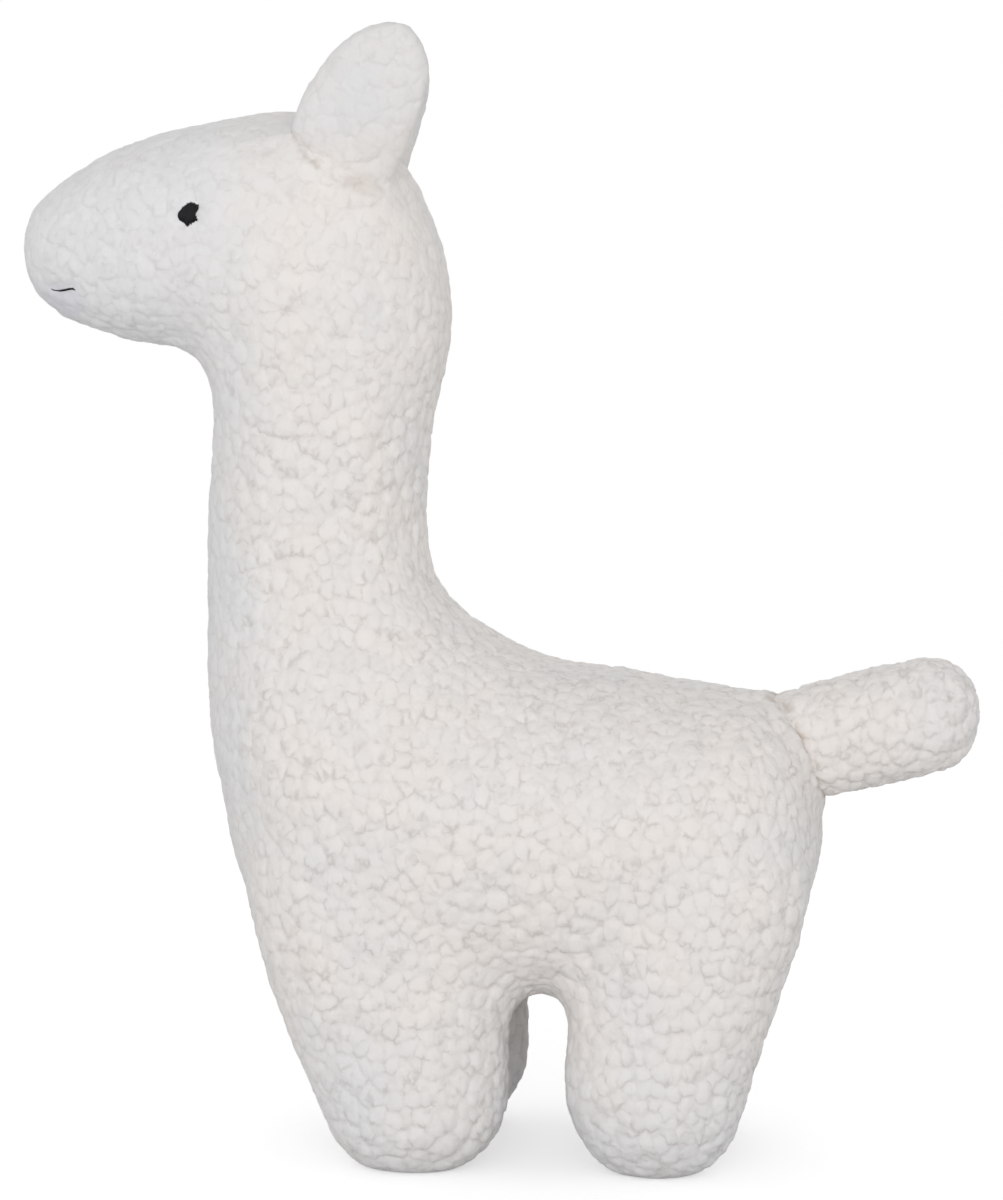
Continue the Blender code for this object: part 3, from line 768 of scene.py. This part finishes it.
def stitch_tree():
    """Geometry nodes that lay threads on a skin: rows of lines are cast on it and given thickness."""
    tree = bpy.data.node_groups.new(STITCHES, "GeometryNodeTree")
    add_socket(tree, "Geometry", "NodeSocketGeometry")
    add_socket(tree, "Skin", "NodeSocketObject")
    add_socket(tree, "Side", "NodeSocketFloat", -1.0)
    add_socket(tree, "Thread", "NodeSocketFloat", 0.4 * MM)
    add_socket(tree, "Padding", "NodeSocketFloat", 0.4 * MM)
    add_socket(tree, "Steps", "NodeSocketInt", 9)
    add_socket(tree, "Seed", "NodeSocketInt", SEED)
    add_socket(tree, "Yarn", "NodeSocketMaterial")
    add_socket(tree, "Geometry", "NodeSocketGeometry", out=True)
    given = add_node(tree, "NodeGroupInput").outputs
    lines = add_node(tree, "GeometryNodeMeshToCurve", {"Mesh": given["Geometry"]}).outputs[0]
    lines = add_node(
        tree, "GeometryNodeResampleCurve", {"Curve": lines, "Count": given["Steps"]}
    ).outputs[0]
    # a stitch stands highest in its middle and dips into the cloth at its ends
    along = add_node(tree, "GeometryNodeSplineParameter").outputs["Factor"]
    turn = add_node(tree, "ShaderNodeMath", {0: along, 1: math.pi}, operation="MULTIPLY").outputs[0]
    arc = add_node(tree, "ShaderNodeMath", {0: turn}, operation="SINE").outputs[0]
    across = add_node(tree, "ShaderNodeCombineXYZ", {1: given["Side"]}).outputs[0]
    inward = add_node(
        tree, "ShaderNodeVectorMath", {0: across, "Scale": -1.0}, operation="SCALE"
    ).outputs[0]
    skin = add_node(
        tree, "GeometryNodeObjectInfo", {"Object": given["Skin"]}, transform_space="RELATIVE"
    ).outputs["Geometry"]
    cast = add_node(
        tree, "GeometryNodeRaycast", {"Target Geometry": skin, "Ray Direction": inward, "Ray Length": 0.1}
    ).outputs
    raised = add_node(
        tree, "ShaderNodeMath", {0: arc, 1: given["Padding"], 2: -0.15 * MM}, operation="MULTIPLY_ADD"
    ).outputs[0]
    lift = add_node(
        tree, "ShaderNodeVectorMath", {0: across, "Scale": raised}, operation="SCALE"
    ).outputs[0]
    laid = add_node(tree, "ShaderNodeVectorMath", {0: cast["Hit Position"], 1: lift}).outputs[0]
    lines = add_node(tree, "GeometryNodeSetPosition", {"Geometry": lines, "Position": laid}).outputs[0]
    uneven = add_node(
        tree, "FunctionNodeRandomValue",
        {2: 0.85, 3: 1.15, "ID": add_node(tree, "GeometryNodeInputIndex").outputs[0], "Seed": given["Seed"]},
    ).outputs[1]
    radius = add_node(
        tree, "ShaderNodeMath", {0: given["Thread"], 1: 0.5}, operation="MULTIPLY"
    ).outputs[0]
    ring = add_node(
        tree, "GeometryNodeCurvePrimitiveCircle", {"Resolution": 6, "Radius": radius}
    ).outputs[0]
    thick = add_node(
        tree, "ShaderNodeMapRange", {"Value": arc, "From Max": 0.6, "To Min": 0.6, "To Max": uneven}
    ).outputs[0]
    threads = add_node(
        tree, "GeometryNodeCurveToMesh",
        {"Curve": lines, "Profile Curve": ring, "Scale": thick, "Fill Caps": True},
    ).outputs[0]
    real = add_node(tree, "GeometryNodeRealizeInstances", {"Geometry": threads}).outputs[0]
    done = add_node(
        tree, "GeometryNodeSetMaterial", {"Geometry": real, "Material": given["Yarn"]}
    ).outputs[0]
    add_node(tree, "NodeGroupOutput", {0: done})
    return tree


def thread_material(settings):
    """Rayon embroidery thread: black, with a faint lustre along each strand."""
    material = bpy.data.materials.new(YARN)
    material.use_nodes = True
    tree = material.node_tree
    shader = tree.nodes["Principled BSDF"]
    place = add_node(tree, "ShaderNodeTexCoord").outputs["Object"]
    strands = add_node(
        tree, "ShaderNodeTexNoise", {"Vector": place, "Scale": 1 / STRAND, "Detail": 2.0}
    ).outputs["Fac"]
    bump = add_node(
        tree, "ShaderNodeBump", {"Height": strands, "Strength": 0.4, "Distance": 0.1 * MM}
    ).outputs[0]
    tree.links.new(bump, shader.inputs["Normal"])
    shader.inputs["Base Color"].default_value = (*settings.thread, 1.0)
    shader.inputs["Roughness"].default_value = 0.5
    shader.inputs["Specular IOR Level"].default_value = 0.25
    return material


def embroider(name, lines, side, settings, thread, padding):
    """Lays one thread along each line, a row of X and Z pairs, on the fleece of the head."""
    points = []
    edges = []
    for line in lines:
        first = len(points)
        points += [(x, side * 0.06, z) for x, z in line]
        edges += [(i, i + 1) for i in range(first, len(points) - 1)]
    mesh = bpy.data.meshes.new(name)
    mesh.from_pydata(points, edges, [])
    piece = new_object(name, mesh)
    tree = bpy.data.node_groups.get(STITCHES) or stitch_tree()
    given = socket_ids(tree)
    laid = piece.modifiers.new("embroidery", "NODES")
    laid.node_group = tree
    yarn = bpy.data.materials.get(YARN) or thread_material(settings)
    values = {
        "Skin": bpy.data.objects["fleece_body"], "Side": side, "Thread": thread, "Padding": padding,
        "Yarn": yarn,
    }
    for key, value in values.items():
        laid[given[key]] = value
    settle(piece)
    piece.data.shade_smooth()
    return piece


def eye_lines(settings):
    """Upright satin stitches of an eye: a bean that bulges forward, its rear side notched."""
    rng = np.random.default_rng(SEED)
    outline = np.array(EYE_SHAPE)
    lean = math.tan(settings.stitch_lean)
    lines = []
    for i in range(settings.eye_threads):
        across = 2 * (i + 0.5) / settings.eye_threads - 1
        low, high = (np.interp(across, outline[:, 0], outline[:, end]) for end in (1, 2))
        low, high = rng.normal(0.0, 0.045, 2) + (low, high)
        parts = [(low, high)]
        if across >= EYE_NOTCH[0][0]:
            notch = np.interp(across, *EYE_NOTCH)
            parts = [(low, -1.2 * notch), (notch, high)]
        x = settings.eye_x + across * settings.eye_width / 2
        for part in parts:
            if part[1] - part[0] < 0.1:
                continue
            heights = [end * settings.eye_height / 2 for end in part]
            lines.append([(x + z * lean, settings.eye_z + z) for z in heights])
    return lines


class PLUSH_OT_eyes(Operator):
    """Stitches the two eyes on the head"""

    bl_idname = "plush.eyes"
    bl_label = "Eyes"

    def execute(self, context):
        settings = context.scene.plush_stitches
        lines = eye_lines(settings)
        for side, word in ((-1, "left"), (1, "right")):
            piece = embroider(f"stitched_eye_{word}", lines, side, settings, settings.eye_thread, 0.7 * MM)
            declare(piece, "eye_thread", f"eye_{word}")
        return {"FINISHED"}


class PLUSH_OT_mouth(Operator):
    """Stitches the mouth line on both sides of the snout"""

    bl_idname = "plush.mouth"
    bl_label = "Mouth"

    def execute(self, context):
        settings = context.scene.plush_stitches
        knots = [(x * MM, z * MM) for x, z in MOUTH_KNOTS]
        below = [(x, z - 0.2 * MM) for x, z in knots]
        for side, word in ((-1, "left"), (1, "right")):
            piece = embroider(
                f"stitched_mouth_{word}", [knots, knots[1:], below[2:]], side, settings,
                settings.mouth_thread, 0.3 * MM,
            )
            declare(piece, "mouth_thread", f"mouth_{word}")
        return {"FINISHED"}


class PLUSH_OT_studio(Operator):
    """Lays the floor, hangs the lamps and sets the camera"""

    bl_idname = "plush.studio"
    bl_label = "Studio"

    def execute(self, context):
        settings = context.scene.plush_studio
        bm = bmesh.new()
        bmesh.ops.create_grid(bm, x_segments=1, y_segments=1, size=6.0)
        mesh = bpy.data.meshes.new("studio_floor")
        bm.to_mesh(mesh)
        bm.free()
        floor = new_object("studio_floor", mesh)
        mesh.materials.append(floor_material(settings))
        context.scene.world = studio_world(settings)
        add_lamp("front_softbox", settings.key, Vector((0.05, -1.4, 0.2)))
        add_lamp("rear_softbox", settings.fill, Vector((-0.2, 1.4, 0.3)))
        add_camera(settings)
        context.scene.view_settings.view_transform = "Standard"
        return {"FINISHED"}


def studio_world(settings):
    """Even light from all round, weaker overhead, in front of a white background."""
    world = bpy.data.worlds.new("studio")
    world.use_nodes = True
    tree = world.node_tree
    tree.nodes.clear()
    path = add_node(tree, "ShaderNodeLightPath").outputs
    seen = path["Is Camera Ray"]
    for kind in ("Is Glossy Ray", "Is Transmission Ray"):
        seen = add_node(tree, "ShaderNodeMath", {0: seen, 1: path[kind]}, operation="MAXIMUM").outputs[0]
    heading = add_node(tree, "ShaderNodeTexCoord").outputs["Generated"]
    steep = add_node(tree, "ShaderNodeSeparateXYZ", {0: heading}).outputs[2]
    soft = add_node(
        tree, "ShaderNodeMapRange",
        {"Value": steep, "To Min": settings.ambient, "To Max": ZENITH_SHARE * settings.ambient},
    ).outputs[0]
    strength = add_node(
        tree, "ShaderNodeMapRange", {"Value": seen, "To Min": soft, "To Max": 1.0}
    ).outputs[0]
    sky = add_node(tree, "ShaderNodeBackground", {"Color": (1, 1, 1, 1), "Strength": strength})
    add_node(tree, "ShaderNodeOutputWorld", {"Surface": sky.outputs[0]})
    return world


def floor_material(settings):
    """Matt white studio paper, which runs out into the white of the background."""
    material = bpy.data.materials.new("Matt white studio paper")
    material.use_nodes = True
    tree = material.node_tree
    shader = tree.nodes["Principled BSDF"]
    shader.inputs["Base Color"].default_value = (*settings.floor, 1.0)
    shader.inputs["Roughness"].default_value = 0.9
    shader.inputs["Specular IOR Level"].default_value = 0.1
    shader.inputs["Emission Color"].default_value = (1, 1, 1, 1)
    seen = add_node(tree, "ShaderNodeLightPath").outputs["Is Camera Ray"]
    lift = add_node(tree, "ShaderNodeMath", {0: seen, 1: FLOOR_LIFT}, operation="MULTIPLY").outputs[0]
    tree.links.new(lift, shader.inputs["Emission Strength"])
    place = add_node(tree, "ShaderNodeTexCoord").outputs["Object"]
    away = add_node(tree, "ShaderNodeVectorMath", {0: place}, operation="LENGTH").outputs["Value"]
    faded = add_node(
        tree, "ShaderNodeMapRange", {"Value": away, "From Min": 0.25, "From Max": 0.7},
        interpolation_type="SMOOTHSTEP",
    ).outputs[0]
    share = add_node(tree, "ShaderNodeMath", {0: faded, 1: seen}, operation="MULTIPLY").outputs[0]
    white = add_node(tree, "ShaderNodeEmission", {"Color": (1, 1, 1, 1), "Strength": 1.0}).outputs[0]
    mixed = add_node(tree, "ShaderNodeMixShader", {0: share, 1: shader.outputs[0], 2: white}).outputs[0]
    tree.links.new(mixed, tree.nodes["Material Output"].inputs["Surface"])
    return material


def add_lamp(name, power, away):
    """A square softbox, this far away from what it aims at."""
    light = bpy.data.lights.new(name, "AREA")
    light.energy = power
    light.shape = "SQUARE"
    light.size = SOFTBOX
    lamp = new_object(name, light)
    lamp.location = AIM + away
    lamp.rotation_euler = (-away).to_track_quat("-Z", "Y").to_euler()


def add_camera(settings):
    """A long lens, a little above the toy and turned to its chest; 24 mm is the picture's long side."""
    back = Vector((
        math.sin(settings.azimuth) * math.cos(settings.elevation),
        -math.cos(settings.azimuth) * math.cos(settings.elevation),
        math.sin(settings.elevation),
    ))
    data = bpy.data.cameras.new("camera")
    data.sensor_width = 24.0
    data.lens = 89.5
    camera = new_object("camera", data)
    camera.location = AIM + back * settings.distance
    camera.rotation_euler = (-back).to_track_quat("-Z", "Y").to_euler()
    bpy.context.scene.camera = camera


class PLUSH_PT_panel(Panel):
    """The toy's sizes and colours, and the buttons that make its pieces"""

    bl_idname = "PLUSH_PT_panel"
    bl_label = "Plush Llama"
    bl_space_type = "VIEW_3D"
    bl_region_type = "UI"
    bl_category = "Plush Llama"

    def draw(self, context):
        for group in ("plush_fleece", "plush_stitches", "plush_studio"):
            settings = getattr(context.scene, group)
            box = self.layout.box()
            for name in settings.__annotations__:
                box.prop(settings, name)
        for operator in OPERATORS:
            self.layout.operator(operator.bl_idname)


GROUPS = (FleeceSettings, StitchSettings, StudioSettings)
OPERATORS = (PLUSH_OT_body, PLUSH_OT_tail, PLUSH_OT_ears, PLUSH_OT_eyes, PLUSH_OT_mouth, PLUSH_OT_studio)


def register():
    for cls in GROUPS + OPERATORS + (PLUSH_PT_panel,):
        bpy.utils.register_class(cls)
    bpy.types.Scene.plush_fleece = PointerProperty(type=FleeceSettings)
    bpy.types.Scene.plush_stitches = PointerProperty(type=StitchSettings)
    bpy.types.Scene.plush_studio = PointerProperty(type=StudioSettings)


def unregister():
    for name in ("plush_fleece", "plush_stitches", "plush_studio"):
        delattr(bpy.types.Scene, name)
    for cls in reversed(GROUPS + OPERATORS + (PLUSH_PT_panel,)):
        bpy.utils.unregister_class(cls)


def main():
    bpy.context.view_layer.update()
    register()
    bpy.ops.plush.body()
    bpy.ops.plush.tail()
    bpy.ops.plush.ears()
    bpy.ops.plush.eyes()
    bpy.ops.plush.mouth()
    bpy.ops.plush.studio()


if __name__ == "__main__":
    main()
